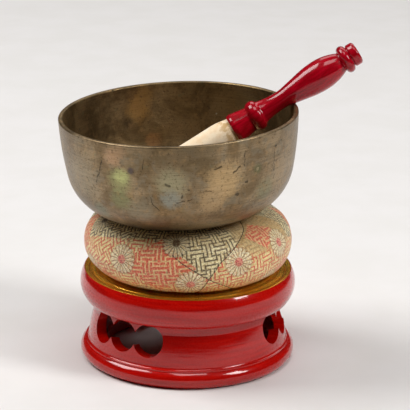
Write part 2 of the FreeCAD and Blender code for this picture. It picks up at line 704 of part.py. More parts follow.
def striker_handle(doc, s, f):
    points = [
        (ZERO, ZERO),
        (s.knob_radius - s.knob_round, ZERO),
        (s.knob_radius, s.knob_round),
        (s.knob_radius, s.knob_thickness - s.knob_back_round),
        (s.knob_neck, s.knob_thickness),
        (s.knob_neck, f.small_bead_start),
        (s.knob_neck, f.small_bead_end),
        (s.knob_neck, f.grip_start),
        (f.grip_radius, f.grip_crest),
        (f.taper_radius, f.taper_start),
        (f.rest_radius, f.rest_station),
        (f.neck_radius, f.neck_station),
        (f.flare_radius, f.flare_start),
        (f.large_bead_edge, f.large_bead_start),
        (f.large_bead_edge, f.large_bead_end),
        (f.collar_foot_radius, f.collar_start),
        (f.tenon_radius, f.collar_start),
        (f.tenon_radius, f.tenon_end),
        (f.core_socket, f.tenon_end),
        (f.core_socket, f.core_start),
        (ZERO, f.core_start),
    ]
    arcs = {
        1: (s.knob_round, 1),
        3: (s.knob_back_round, 1),
        5: (arc_radius(s.small_bead_width, s.small_bead_rise), 1),
        7: (easing_radius(s.grip_front, s.grip_swell), 1),
        8: (easing_radius(s.grip_back, s.grip_fall), 1),
        10: (easing_radius(s.neck_run, s.neck_fall), -1),
        11: (easing_radius(s.flare_run, s.flare_rise), -1),
        12: (s.flare_round, -1),
        13: (arc_radius(s.large_bead_width, s.large_bead_swell), 1),
    }
    return turned_body(doc, "striker_handle", points, arcs)


def striker_collar(doc, s, f):
    bore = f.tenon_radius + s.joint_gap
    points = [
        (bore, f.collar_start),
        (f.collar_foot_radius, f.collar_start),
        (f.collar_radius, f.collar_end - s.collar_mouth_round),
        (f.mouth_outer, f.collar_end),
        (f.mouth_inner, f.collar_end),
        (f.mouth_inner, f.head_start),
        (bore, f.head_start),
    ]
    lip = easing_radius(s.collar_mouth_round, s.collar_mouth_fall)
    return turned_body(doc, "striker_collar", points, {2: (lip, 1)})


def striker_core(doc, s, f):
    start = f.core_start + s.joint_gap
    points = [(ZERO, start), (s.core_radius, start), (s.core_radius, f.dome_station),
              (ZERO, f.dome_station)]
    return turned_body(doc, "striker_core", points)


def head_outline(s, f, inset):
    """Half outline of the head from the collar to its tip, drawn in by an inset."""
    start = f.head_start + s.joint_gap
    root_radius = f.head_root - inset
    full_radius = s.head_radius - inset
    points = [
        (root_radius, start),
        (root_radius, f.collar_end),
        (full_radius, f.swell_end),
        (full_radius, f.dome_station),
        (ZERO, f.head_tip - inset),
    ]
    return points, {1: s.head_swell_round, 3: full_radius}


def head_leather(doc, s, f):
    outside, outer_radii = head_outline(s, f, ZERO)
    inside, inner_radii = head_outline(s, f, s.leather_thickness)
    arcs = {side: (radius, 1) for side, radius in outer_radii.items()}
    last = 2 * len(outside) - 2
    for side, radius in inner_radii.items():
        arcs[last - side] = (radius, -1)
    return turned_body(doc, "head_leather", outside + inside[::-1], arcs)


def head_padding(doc, s, f):
    inset = s.leather_thickness + s.joint_gap
    outside, radii = head_outline(s, f, inset)
    end = f.dome_station + s.joint_gap
    arcs = {side: (radius, 1) for side, radius in radii.items()}
    start = outside[0][1]
    points = outside + [(ZERO, end), (f.core_socket, end), (f.core_socket, start)]
    return turned_body(doc, "head_padding", points, arcs)


def bowl_placement(s, f):
    """The bowl leans a little on the soft cushion."""
    heading = math.radians(s.bowl_lean_heading.value)
    hinge = Vector(-math.sin(heading), math.cos(heading), 0)
    base = Vector(s.bowl_shift_x.value, s.bowl_shift_y.value, f.bowl_base.value)
    return Placement(base, Rotation(hinge, s.bowl_lean.value))


def head_centre(s, f, angle):
    """Centre of the head's dome where it touches the bowl's inside at a slope."""
    clear = s.bowl_wall.value + s.rest_gap.value + s.head_radius.value
    away = Vector(-math.sin(angle), -math.cos(angle), 0)
    meeting = math.atan2(f.bottom_out.value, -f.bottom_up.value)
    if angle < meeting:
        centre = Vector(0, f.bottom_radius.value, 0)
        return centre + away * (f.bottom_radius.value - clear)
    centre = Vector(-f.corner_reach.value, f.corner_height.value, 0)
    return centre + away * (s.bowl_corner_radius.value - clear)


def lip_centre(s, f):
    """Centre of the rounding on the rim's inner edge."""
    side = s.bowl_side_radius.value - s.bowl_wall.value
    low = s.bowl_height.value - f.side_centre_up.value
    rim = f.side_centre_out.value + math.sqrt(side ** 2 - low ** 2)
    return Vector(rim + s.bowl_lip_round.value, s.bowl_height.value - s.bowl_lip_round.value, 0)


def striker_rest(s, f):
    """Tip and slope of the striker that lies on the rim and on the bowl's inside."""
    lip = lip_centre(s, f)
    clear = f.rest_radius.value + s.rest_gap.value + s.bowl_lip_round.value
    wanted = f.dome_station.value - f.rest_station.value
    low, high = 0.0, STEEPEST_REST
    for step in range(SEARCH_STEPS):
        angle = (low + high) / 2
        span = lip - head_centre(s, f, angle)
        reach = math.sqrt(span.Length ** 2 - clear ** 2)
        if reach < wanted:
            low = angle
        else:
            high = angle
    slope = math.atan2(span.y, span.x) + math.asin(clear / span.Length)
    return head_centre(s, f, angle), slope


def striker_placement(s, f, bowl_place):
    """The striker lies in an upright plane through the bowl's axis, head down."""
    tip, slope = striker_rest(s, f)
    heading = math.radians(s.striker_heading.value)
    out = Vector(math.cos(heading), math.sin(heading), 0)
    backward = out * math.cos(slope) + UP * math.sin(slope)
    dome = out * tip.x + UP * tip.y
    knob = dome + backward * f.dome_station.value
    local = Placement(knob, Rotation(UP, backward * -1))
    return bowl_place.multiply(local)


def build(doc):
    """Make every piece of the object and return those that are written out."""
    s = make_sizes(doc)
    f = make_fits(doc, s)
    doc.recompute()
    pieces = [foot_ring(doc, s, f), openwork_drum(doc, s, f), top_ring(doc, s, f),
              gilt_seat_ring(doc, s, f), seat_board(doc, s, f)]
    bowl_place = bowl_placement(s, f)
    pieces += cushion(doc, s, f, bowl_place)
    metal = bowl(doc, s, f)
    metal.Placement = bowl_place
    pieces.append(metal)
    place = striker_placement(s, f, bowl_place)
    for make in (striker_handle, striker_collar, striker_core, head_padding, head_leather):
        piece = make(doc, s, f)
        piece.Placement = place
        pieces.append(piece)
    doc.recompute()
    return pieces


def check(doc, pieces):
    for item in doc.Objects:
        if "Invalid" in item.State or "Error" in item.State:
            raise ValueError("%s was not made: %s" % (item.Label, item.State))
    for piece in pieces:
        shape = piece.Shape
        if shape.isNull() or not shape.isValid() or not shape.Solids:
            raise ValueError("%s has no valid solid" % piece.Label)


def export(pieces):
    os.makedirs("parts", exist_ok=True)
    for piece in pieces:
        piece.Shape.exportStep("parts/%s.step" % piece.Label)


def main():
    doc = FreeCAD.newDocument("AltarBowl")
    pieces = build(doc)
    check(doc, pieces)
    export(pieces)
    for piece in pieces:
        box = piece.Shape.BoundBox
        print(piece.Label, len(piece.Shape.Solids), "solids", round(piece.Shape.Volume),
              "mm3 from z", round(box.ZMin, 2), "to", round(box.ZMax, 2))


main()
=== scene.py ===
import bpy
import math
import numpy as np
from mathutils import Matrix, Vector, noise
from mathutils.bvhtree import BVHTree


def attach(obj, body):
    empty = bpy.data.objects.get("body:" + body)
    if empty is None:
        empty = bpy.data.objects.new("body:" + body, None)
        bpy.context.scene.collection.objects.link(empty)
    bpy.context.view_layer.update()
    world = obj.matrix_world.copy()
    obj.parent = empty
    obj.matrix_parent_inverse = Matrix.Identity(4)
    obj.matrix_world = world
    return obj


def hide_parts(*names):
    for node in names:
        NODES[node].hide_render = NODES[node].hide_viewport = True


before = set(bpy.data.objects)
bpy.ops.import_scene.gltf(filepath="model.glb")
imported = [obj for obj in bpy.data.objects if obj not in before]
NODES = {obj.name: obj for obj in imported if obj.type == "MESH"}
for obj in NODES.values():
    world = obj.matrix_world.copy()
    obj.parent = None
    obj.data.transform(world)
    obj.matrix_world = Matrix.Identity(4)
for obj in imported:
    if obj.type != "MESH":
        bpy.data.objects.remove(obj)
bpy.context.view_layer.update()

# A bronze altar bowl on a round brocade cushion and a red lacquered ring stand, with
# its striker. Metres, +Z up; the photographed side faces -Y.

MM = 0.001
TURN = 2 * math.pi

# Where the leaning pieces lie, in mm: the bowl's base, its lean and the heading of that,
# then the end of the striker's knob and the way that the striker points.
BOWL_BASE = Vector((-4.0, -2.5, 93.8))
BOWL_LEAN = math.radians(2.76)
BOWL_LEAN_HEADING = math.radians(206.4)
KNOB_END = Vector((106.471, 11.443, 199.438))
STRIKER_WAY = Vector((-0.841761, -0.110488, -0.528423))

# The cushion's profile in mm: its underside, the round of its side, with the centre's
# distance from the axis and level, the crown's top, and the cloth's radius for patterns.
CUSHION_BASE = 58.5
SIDE_RADIUS = 19.4
SIDE_REACH = 48.0
SIDE_LEVEL = 77.9
CROWN_TOP = 102.0
CLOTH_RADIUS = 67.4


def rgb(red, green, blue):
    """A screen colour from 0 to 255 as a linear colour."""
    linear = []
    for part in (red, green, blue):
        part = part / 255
        low = part / 12.92
        linear.append(low if part <= 0.04045 else ((part + 0.055) / 1.055) ** 2.4)
    return (*linear, 1.0)


GIVES_NUMBER = ("LENGTH", "DISTANCE", "DOT_PRODUCT")


class Graph:
    """A node material that is built up from small steps."""

    def __init__(self, name):
        self.material = bpy.data.materials.new(name)
        self.material.use_nodes = True
        self.tree = self.material.node_tree
        self.shader = self.tree.nodes["Principled BSDF"]

    def feed(self, socket, value):
        if isinstance(value, bpy.types.NodeSocket):
            self.tree.links.new(value, socket)
        else:
            socket.default_value = value

    def node(self, kind, inputs=(), **settings):
        made = self.tree.nodes.new(kind)
        for name, value in settings.items():
            setattr(made, name, value)
        for key, value in dict(inputs).items():
            self.feed(made.inputs[key], value)
        return made

    def calc(self, operation, *values, clamp=False):
        made = self.node("ShaderNodeMath", enumerate(values), operation=operation)
        made.use_clamp = clamp
        return made.outputs[0]

    def vector(self, operation, *values):
        made = self.node("ShaderNodeVectorMath", operation=operation)
        for index, value in enumerate(values):
            key = "Scale" if operation == "SCALE" and index == 1 else index
            self.feed(made.inputs[key], value)
        return made.outputs["Value" if operation in GIVES_NUMBER else "Vector"]

    def mix(self, factor, first, second):
        """Mix two colours."""
        made = self.node("ShaderNodeMix", data_type="RGBA")
        self.feed(made.inputs["Factor"], factor)
        self.feed(made.inputs[6], first)
        self.feed(made.inputs[7], second)
        return made.outputs[2]

    def blend(self, factor, first, second):
        """Mix two numbers."""
        made = self.node("ShaderNodeMix", data_type="FLOAT")
        self.feed(made.inputs[0], factor)
        self.feed(made.inputs[2], first)
        self.feed(made.inputs[3], second)
        return made.outputs[0]

    def step(self, value, low, high, first=0.0, second=1.0):
        """Rise smoothly from first to second while value goes from low to high."""
        inputs = {0: value, 1: low, 2: high, 3: first, 4: second}
        made = self.node("ShaderNodeMapRange", inputs, interpolation_type="SMOOTHSTEP")
        return made.outputs[0]

    def noise(self, place, scale, detail=3.0, roughness=0.55, distortion=0.0):
        inputs = {"Vector": place, "Scale": scale, "Detail": detail,
                  "Roughness": roughness, "Distortion": distortion}
        return self.node("ShaderNodeTexNoise", inputs).outputs["Fac"]

    def cells(self, place, scale):
        """Distance to the nearest of many scattered points."""
        inputs = {"Vector": place, "Scale": scale}
        return self.node("ShaderNodeTexVoronoi", inputs).outputs["Distance"]

    def place(self, base=(0, 0, 0), turn=(0, 0, 0)):
        """Position in the piece's own frame, in millimetres."""
        where = self.node("ShaderNodeTexCoord").outputs["Object"]
        inputs = {"Vector": where, "Location": Vector(base) * MM, "Rotation": turn,
                  "Scale": (MM, MM, MM)}
        return self.node("ShaderNodeMapping", inputs, vector_type="TEXTURE").outputs[0]

    def split(self, vector):
        made = self.node("ShaderNodeSeparateXYZ", {0: vector})
        return made.outputs[0], made.outputs[1], made.outputs[2]

    def join(self, x, y, z):
        return self.node("ShaderNodeCombineXYZ", {0: x, 1: y, 2: z}).outputs[0]

    def stretch(self, vector, x, y, z):
        return self.vector("MULTIPLY", vector, (x, y, z))

    def bump(self, height, strength, distance):
        """Distance is the relief's depth in millimetres."""
        inputs = {"Height": height, "Strength": strength, "Distance": distance * MM}
        return self.node("ShaderNodeBump", inputs).outputs[0]

    def finish(self, **sockets):
        for name, value in sockets.items():
            self.feed(self.shader.inputs[name.replace("_", " ")], value)
        return self.material


def lean_turn():
    hinge = Vector((-math.sin(BOWL_LEAN_HEADING), math.cos(BOWL_LEAN_HEADING), 0))
    return Matrix.Rotation(BOWL_LEAN, 3, hinge)


def striker_turn():
    return Vector((0, 0, 1)).rotation_difference(STRIKER_WAY).to_matrix()


def red_lacquer():
    """Deep red lacquer: brushed on round the turning, glossy, a little uneven."""
    g = Graph("red_lacquer")
    where = g.place()
    streaks = g.noise(g.stretch(where, 0.03, 0.03, 0.5), 1.0, 4, 0.6, 0.4)
    patches = g.noise(where, 0.04, 3)
    fine = g.noise(where, 0.9, 2)
    colour = g.mix(g.step(streaks, 0.34, 0.66), rgb(168, 3, 0), rgb(194, 12, 2))
    colour = g.mix(g.step(patches, 0.4, 0.65, 0.0, 0.5), colour, rgb(176, 7, 1))
    worn = g.step(g.noise(where, 0.6, 4, 0.75), 0.7, 0.78, 0.0, 0.2)
    colour = g.mix(worn, colour, rgb(120, 10, 6))
    relief = g.blend(0.2, streaks, fine)
    return g.finish(
        Base_Color=colour,
        Roughness=g.step(fine, 0.2, 0.8, 0.22, 0.34),
        Specular_IOR_Level=0.08,
        Coat_Weight=1.0,
        Coat_Roughness=g.step(patches, 0.3, 0.7, 0.03, 0.08),
        Normal=g.bump(relief, 0.5, 0.3),
        Coat_Normal=g.bump(relief, 0.4, 0.2),
    )


def gold_leaf():
    """Gilt ledge: leaf over lacquer, laps, rubbed places, and turning lines darkened as
    painted shade.
    """
    g = Graph("gilt")
    where = g.place()
    x, y, z = g.split(where)
    away = g.vector("LENGTH", g.join(x, y, 0.0))
    sway = g.calc("MULTIPLY", g.noise(g.join(away, z, 0.0), 0.5, 3, 0.7), 7.0)
    lines = g.calc("SINE", g.calc("MULTIPLY_ADD", away, 1.35, sway))
    laps = g.noise(where, 0.08, 3, 0.6)
    fine = g.noise(where, 1.6, 3)
    rubbed = g.step(g.noise(where, 0.16, 4, 0.65), 0.6, 0.76)
    colour = g.mix(g.step(laps, 0.3, 0.7), rgb(255, 214, 84), rgb(255, 184, 48))
    # Painted shade: the turning lines are darkened where the ledge's grooves would lie in
    # shade; their relief is only in the bump.
    colour = g.mix(g.step(lines, 0.6, 0.97, 0.0, 0.6), colour, rgb(160, 80, 10))
    colour = g.mix(g.calc("MULTIPLY", rubbed, 0.35), colour, rgb(196, 96, 44))
    return g.finish(
        Base_Color=colour,
        Metallic=0.8,
        Roughness=g.step(fine, 0.3, 0.7, 0.12, 0.26),
        Normal=g.bump(g.blend(0.2, lines, fine), 0.9, 0.45),
    )


def plain_wood():
    g = Graph("board_wood")
    where = g.place()
    grain = g.noise(g.stretch(where, 0.9, 0.05, 0.9), 1.0, 5, 0.6, 0.6)
    pores = g.noise(g.stretch(where, 5.0, 0.25, 5.0), 1.0, 2)
    colour = g.mix(g.step(grain, 0.3, 0.7), rgb(150, 112, 76), rgb(108, 74, 46))
    colour = g.mix(g.step(pores, 0.6, 0.8, 0.0, 0.5), colour, rgb(78, 50, 32))
    return g.finish(Base_Color=colour, Roughness=0.7, Normal=g.bump(pores, 0.4, 0.2))


# The bowl's stains: place in its own frame in mm, radius, colour and strength.
STAINS = (
    ((0, -75, 68), 30.0, (92, 76, 50), 0.6),
    ((-8, -64, 16), 26.0, (112, 84, 44), 0.5),
    ((-60, -44, 42), 20.0, (176, 162, 136), 0.6),
    ((62, -39, 41), 13.0, (176, 154, 122), 0.6),
    ((52, -49, 32), 10.0, (142, 140, 110), 0.6),
    ((28, -68, 45), 15.0, (206, 174, 126), 0.7),
    ((20, -69, 34), 12.0, (190, 160, 118), 0.6),
    ((33, -59, 21), 9.0, (150, 122, 84), 0.5),
    ((-24, -65, 25), 12.0, (150, 142, 120), 0.6),
    ((-49, -47, 21), 8.0, (128, 136, 116), 0.7),
    ((-36, -62, 33), 9.0, (136, 138, 98), 0.7),
    ((-4, -74, 46), 12.0, (170, 162, 128), 0.8),
    ((-5, -72, 35), 8.0, (148, 150, 138), 0.8),
    ((-40, -64, 60), 8.0, (190, 154, 120), 0.8),
    ((-35, -67, 64), 6.0, (176, 142, 108), 0.6),
    ((-36, -65, 46), 10.0, (160, 160, 112), 0.7),
    ((-35, -66, 48.5), 6.2, (190, 192, 130), 0.9),
    ((-28.6, -69, 53), 2.8, (84, 76, 80), 0.8),
    ((48, -57, 48), 4.2, (104, 104, 72), 0.8),
    ((48, -57, 48), 1.5, (176, 160, 124), 0.8),
    ((-28, 66, 53), 11.0, (190, 148, 86), 0.65),
    ((-24, 68, 61), 9.0, (180, 142, 84), 0.5),
    ((-19, 66, 31), 7.0, (176, 132, 88), 0.7),
    ((40, 60, 56), 26.0, (156, 132, 92), 0.8),
    ((-35, 62, 45), 5.0, (62, 50, 34), 0.7),
    ((24, 67, 48), 0.8, (226, 220, 200), 0.8),
)
# Its dents and scratches: from, to, and half the width, in mm.
MARKS = (
    ((-7.9, -73.5, 44.9), (-6.2, -73.6, 44.0), 0.8),
    ((1.4, -72.7, 36.2), (1.9, -72.7, 37), 0.7),
    ((5.6, -73.2, 40.8), (5.9, -73.2, 40.9), 0.5),
    ((34, -63.6, 34), (35.4, -63.1, 34), 0.75),
    ((40.4, -61.2, 41), (41.4, -60.7, 41), 0.65),
    ((33, -66.8, 49), (37.1, -65.1, 52.4), 0.5),
    ((15.2, -71.5, 39.3), (20.8, -70.2, 39.3), 0.3),
    ((22, -71.6, 53.3), (25.6, -70.8, 54), 0.45),
    ((40.6, -63.9, 61.4), (39.9, -63.4, 52.3), 0.28),
    ((-46.6, -59.3, 57), (-48, -57, 50), 0.34),
    ((-48, -57, 50), (-50.6, -53.5, 42), 0.3),
    ((-20.3, -72.9, 61), (-22.8, -71.2, 51), 0.26),
    ((58.4, -47.7, 58), (58.2, -45.3, 43), 0.25),
    ((-17.4, -70.5, 36), (-16, -70, 31), 0.3),
    ((-16, -70, 31), (-11.7, -69.5, 27), 0.3),
    ((-1.6, -72, 32.7), (7.5, -71.9, 34.4), 0.26),
    ((44, -62, 36), (49, -56, 27), 0.26),
    ((-38, -64, 52), (-31, -68, 51), 0.24),
)


def patinated_bronze():
    """Turned bronze: brown patina, worn golden places, verdigris, pits and scratches."""
    g = Graph("bronze")
    where = g.place(BOWL_BASE, lean_turn().to_euler())
    x, y, z = g.split(where)
    rings = g.noise(g.stretch(where, 0.014, 0.014, 1.7), 1.0, 5, 0.75)
    short = g.noise(g.stretch(where, 0.12, 0.12, 1.1), 1.0, 4, 0.7)
    clouds = g.noise(where, 0.045, 5, 0.65, 0.6)
    blots = g.noise(g.vector("ADD", where, (90.0, 31.0, 12.0)), 0.1, 5, 0.65, 0.8)
    speckle = g.noise(where, 0.6, 4, 0.75)
    colour = g.mix(g.step(clouds, 0.4, 0.62), rgb(122, 102, 74), rgb(166, 144, 112))
    colour = g.mix(g.step(blots, 0.5, 0.62, 0.0, 0.55), colour, rgb(138, 128, 108))
    dark = g.mix(g.step(clouds, 0.4, 0.62), rgb(110, 90, 58), rgb(146, 120, 80))
    colour = g.mix(g.calc("MULTIPLY", inner_side(g, x, y), 0.85), colour, dark)
    ragged = g.blend(0.5, blots, speckle)
    for centre, radius, tint, strength in STAINS:
        colour = spot(g, where, colour, centre, radius, rgb(*tint), strength, ragged)
    warm = g.step(g.noise(where, 0.22, 5, 0.7), 0.52, 0.66, 0.0, 0.35)
    colour = g.mix(warm, colour, rgb(178, 142, 96))
    verdigris = g.step(g.noise(where, 0.17, 5, 0.72), 0.6, 0.7, 0.0, 0.35)
    colour = g.mix(verdigris, colour, rgb(118, 122, 92))
    colour = g.mix(g.step(rings, 0.42, 0.62, 0.0, 0.3), colour, rgb(88, 72, 48))
    colour = g.mix(g.step(short, 0.52, 0.66, 0.0, 0.25), colour, rgb(96, 80, 56))
    low = g.step(z, 4.0, 14.0, 0.6, 0.0)
    colour = g.mix(low, colour, rgb(112, 84, 40))
    stains = g.step(speckle, 0.54, 0.66, 0.0, 0.5)
    colour = g.mix(stains, colour, rgb(74, 60, 42))
    pits, pit_depth = small_pits(g, where)
    colour = g.mix(pits, colour, rgb(46, 38, 28))
    lines = fine_scratches(g, where)
    colour = g.mix(g.calc("MULTIPLY", lines, 0.35), colour, rgb(74, 60, 44))
    marks = old_marks(g, where)
    colour = g.mix(g.calc("MULTIPLY", marks, 0.7), colour, rgb(48, 39, 28))
    rough = g.step(clouds, 0.3, 0.7, 0.3, 0.44)
    rough = g.calc("ADD", rough, g.calc("MULTIPLY", stains, 0.3))
    height = g.calc("SUBTRACT", g.calc("MULTIPLY", rings, 0.6), pit_depth)
    height = g.calc("SUBTRACT", height, g.calc("MULTIPLY", lines, 0.25))
    height = g.calc("SUBTRACT", height, marks)
    height = g.calc("ADD", height, g.calc("MULTIPLY", g.blend(0.5, speckle, blots), 0.35))
    return g.finish(
        Base_Color=colour,
        Metallic=0.85,
        Roughness=rough,
        Normal=g.bump(height, 0.5, 0.3),
    )


def old_marks(g, where):
    """1 in the dents and along the longer scratches, which wander a little."""
    sway = g.node("ShaderNodeTexNoise", {"Vector": where, "Scale": 0.35}).outputs["Color"]
    sway = g.vector("SCALE", g.vector("SUBTRACT", sway, (0.5, 0.5, 0.5)), 2.2)
    here = g.vector("ADD", where, sway)
    total = 0.0
    for start, end, half in MARKS:
        a, b = Vector(start), Vector(end)
        way = b - a
        offset = g.vector("SUBTRACT", here, tuple(a))
        along = g.vector("DOT_PRODUCT", offset, tuple(way / way.length_squared))
        along = g.calc("MULTIPLY", along, 1.0, clamp=True)
        along = g.vector("MULTIPLY", g.join(along, along, along), tuple(way))
        away = g.vector("DISTANCE", offset, along)
        total = g.calc("MAXIMUM", g.step(away, half * 0.6, half * 1.7, 1.0, 0.0), total)
    return total


def inner_side(g, x, y):
    """1 on the bowl's inside: there the surface faces the axis."""
    normal = g.node("ShaderNodeNewGeometry").outputs["Normal"]
    out = g.vector("NORMALIZE", g.join(x, y, 0.0))
    facing = g.vector("DOT_PRODUCT", normal, out)
    up = g.split(normal)[2]
    inward = g.calc("SUBTRACT", g.calc("MULTIPLY", up, 0.9), facing)
    return g.step(inward, 0.1, 0.4)


def spot(g, where, colour, centre, radius, tint, strength, ragged):
    """A stain with a ragged edge round a point."""
    away = g.vector("DISTANCE", where, tuple(float(part) for part in centre))
    away = g.calc("ADD", away, g.calc("MULTIPLY", ragged, radius * 1.5))
    factor = g.step(away, radius * 1.1, radius * 1.85, strength, 0.0)
    return g.mix(factor, colour, tint)


def small_pits(g, where):
    warped = g.vector("ADD", where, (3.1, 8.7, 1.3))
    near = g.cells(warped, 0.085)
    size = g.noise(where, 0.05, 1)
    pits = g.step(near, 0.045, 0.085, 1.0, 0.0)
    pits = g.calc("MULTIPLY", pits, g.step(size, 0.46, 0.55))
    tiny = g.step(g.cells(where, 0.33), 0.06, 0.12, 0.7, 0.0)
    tiny = g.calc("MULTIPLY", tiny, g.step(g.noise(where, 0.07, 2), 0.5, 0.62))
    both = g.calc("MAXIMUM", pits, tiny)
    return g.calc("MULTIPLY", both, 0.8), both


def fine_scratches(g, where):
    """Thin lines that run in several directions."""
    total = 0.0
    for turn, reach in ((0.35, 0.50), (1.2, 0.47), (2.35, 0.53)):
        inputs = {"Vector": where, "Rotation": (turn, 0.3, turn * 1.7),
                  "Scale": (0.9, 0.02, 0.9)}
        way = g.node("ShaderNodeMapping", inputs).outputs[0]
        band = g.noise(way, 1.0, 2, 0.4)
        line = g.step(g.calc("ABSOLUTE", g.calc("SUBTRACT", band, reach)), 0.0, 0.011,
                      1.0, 0.0)
        total = g.calc("MAXIMUM", line, total)
    faint = g.step(g.noise(where, 0.045, 2), 0.48, 0.62)
    return g.calc("MULTIPLY", total, faint)


def striker_lacquer(name, gloss):
    """Crimson lacquer over turned wood, with faint grain along the handle."""
    g = Graph(name)
    where = g.place(KNOB_END, striker_turn().to_euler())
    grain = g.noise(g.stretch(where, 0.5, 0.5, 0.045), 1.0, 4, 0.6, 0.5)
    clouds = g.noise(where, 0.09, 3)
    fine = g.noise(where, 1.3, 2)
    colour = g.mix(g.step(grain, 0.34, 0.66), rgb(136, 0, 12), rgb(174, 4, 28))
    colour = g.mix(g.step(clouds, 0.4, 0.7, 0.0, 0.4), colour, rgb(150, 2, 20))
    worn = g.step(g.noise(where, 0.4, 4, 0.7), 0.66, 0.74, 0.0, 0.4)
    colour = g.mix(worn, colour, rgb(120, 8, 18))
    return g.finish(
        Base_Color=colour,
        Roughness=g.step(fine, 0.2, 0.8, 0.2, 0.32),
        Specular_IOR_Level=0.08,
        Coat_Weight=gloss,
        Coat_Roughness=g.step(clouds, 0.3, 0.7, 0.03, 0.08),
        Normal=g.bump(g.blend(0.3, grain, fine), 0.4, 0.18),
        Coat_Normal=g.bump(g.blend(0.3, grain, fine), 0.35, 0.16),
    )


def pale_leather():
    """Soft cream leather, stained near the collar."""
    g = Graph("leather")
    where = g.place(KNOB_END, striker_turn().to_euler())
    _, _, z = g.split(where)
    grain = g.cells(where, 1.5)
    soft = g.noise(where, 0.16, 4)
    nap = g.noise(g.stretch(where, 1.2, 1.2, 0.3), 1.0, 4, 0.7)
    colour = g.mix(g.step(soft, 0.3, 0.7), rgb(250, 232, 202), rgb(242, 212, 172))
    stain = g.calc("SUBTRACT", 1.0, g.step(z, 94.0, 108.0))
    stain = g.calc("MULTIPLY", stain, g.step(g.noise(where, 0.22, 4, 0.6), 0.42, 0.62))
    colour = g.mix(g.calc("MULTIPLY", stain, 0.85), colour, rgb(184, 142, 74))
    dirt = g.step(g.noise(where, 0.5, 4, 0.7), 0.6, 0.75, 0.0, 0.3)
    colour = g.mix(dirt, colour, rgb(170, 146, 104))
    height = g.blend(0.5, grain, nap)
    return g.finish(
        Base_Color=colour,
        Roughness=0.78,
        Sheen_Weight=0.25,
        Sheen_Roughness=0.5,
        Normal=g.bump(height, 0.4, 0.2),
    )


def dark_thread():
    g = Graph("stitch_thread")
    ply = g.noise(g.place(), 3.0, 2)
    colour = g.mix(g.step(ply, 0.3, 0.7), rgb(34, 26, 20), rgb(66, 50, 34))
    return g.finish(Base_Color=colour, Roughness=0.6, Normal=g.bump(ply, 0.5, 0.1))


# The key fret: its unit in mm, then its tile and the half width of its lines in units.
FRET_UNIT = 1.36
FRET_TILE = 6.0
FRET_HALF = 0.35
# A flower's number of petals, and its radius in mm.
PETALS = 18
FLOWER_RADIUS = 9.8


def fret_bar(g, u, v, middle, half):
    """Distance outside an upright or level bar, in fret units."""
    past = []
    for value, centre, reach in zip((u, v), middle, half):
        away = g.calc("ABSOLUTE", g.calc("SUBTRACT", value, centre))
        past.append(g.calc("SUBTRACT", away, reach))
    return g.calc("MAXIMUM", *past)


def fret_mask(g, cloth):
    """1 on the key fret: hooked crosses whose arms run on into mirrored neighbours."""
    across, along, _ = g.split(g.vector("SCALE", cloth, 1 / FRET_UNIT))
    u = g.calc("SUBTRACT", g.calc("PINGPONG", across, FRET_TILE), FRET_TILE / 2)
    v = g.calc("SUBTRACT", g.calc("PINGPONG", along, FRET_TILE), FRET_TILE / 2)
    nearest = 9.0
    for _ in range(4):
        arm = fret_bar(g, u, v, (0.0, 1.0), (0.0, 1.0))
        hook = fret_bar(g, u, v, (-1.5, 2.0), (1.6, 0.0))
        nearest = g.calc("MINIMUM", g.calc("MINIMUM", arm, hook), nearest)
        u, v = v, g.calc("MULTIPLY", u, -1.0)
    return g.step(nearest, FRET_HALF - 0.1, FRET_HALF + 0.1, 1.0, 0.0)


def flower_marks(g, offset, radius):
    """Petals, their outlines and the heart of a chrysanthemum round each centre."""
    x, y, kind = g.split(offset)
    away = g.vector("LENGTH", g.join(x, y, 0.0))
    angle = g.calc("ARCTAN2", y, x)
    turned = g.calc("MULTIPLY", angle, PETALS / TURN)
    outer = g.calc("FRACT", g.calc("ADD", turned, PETALS / 2))
    tip = g.calc("ABSOLUTE", g.calc("SUBTRACT", outer, 0.5))
    edge = g.calc("SUBTRACT", radius, g.calc("MULTIPLY", g.calc("POWER", tip, 2.0), 9.0))
    petals = g.step(g.calc("SUBTRACT", edge, away), 0.0, 0.25)
    gaps = g.step(g.calc("MULTIPLY", g.calc("SUBTRACT", 0.5, tip), away), 0.35, 1.05,
                  1.0, 0.0)
    rim = g.step(g.calc("ABSOLUTE", g.calc("SUBTRACT", edge, away)), 0.2, 0.5, 1.0, 0.0)
    gaps = g.calc("MULTIPLY", gaps, g.step(away, radius * 0.3, radius * 0.33))
    lines = g.calc("MAXIMUM", gaps, g.calc("MULTIPLY", rim, 0.6))
    lines = g.calc("MULTIPLY", lines, g.step(away, radius + 0.2, radius + 0.5, 1.0, 0.0))
    heart = g.step(away, radius * 0.24, radius * 0.34, 1.0, 0.0)
    return petals, lines, heart, kind


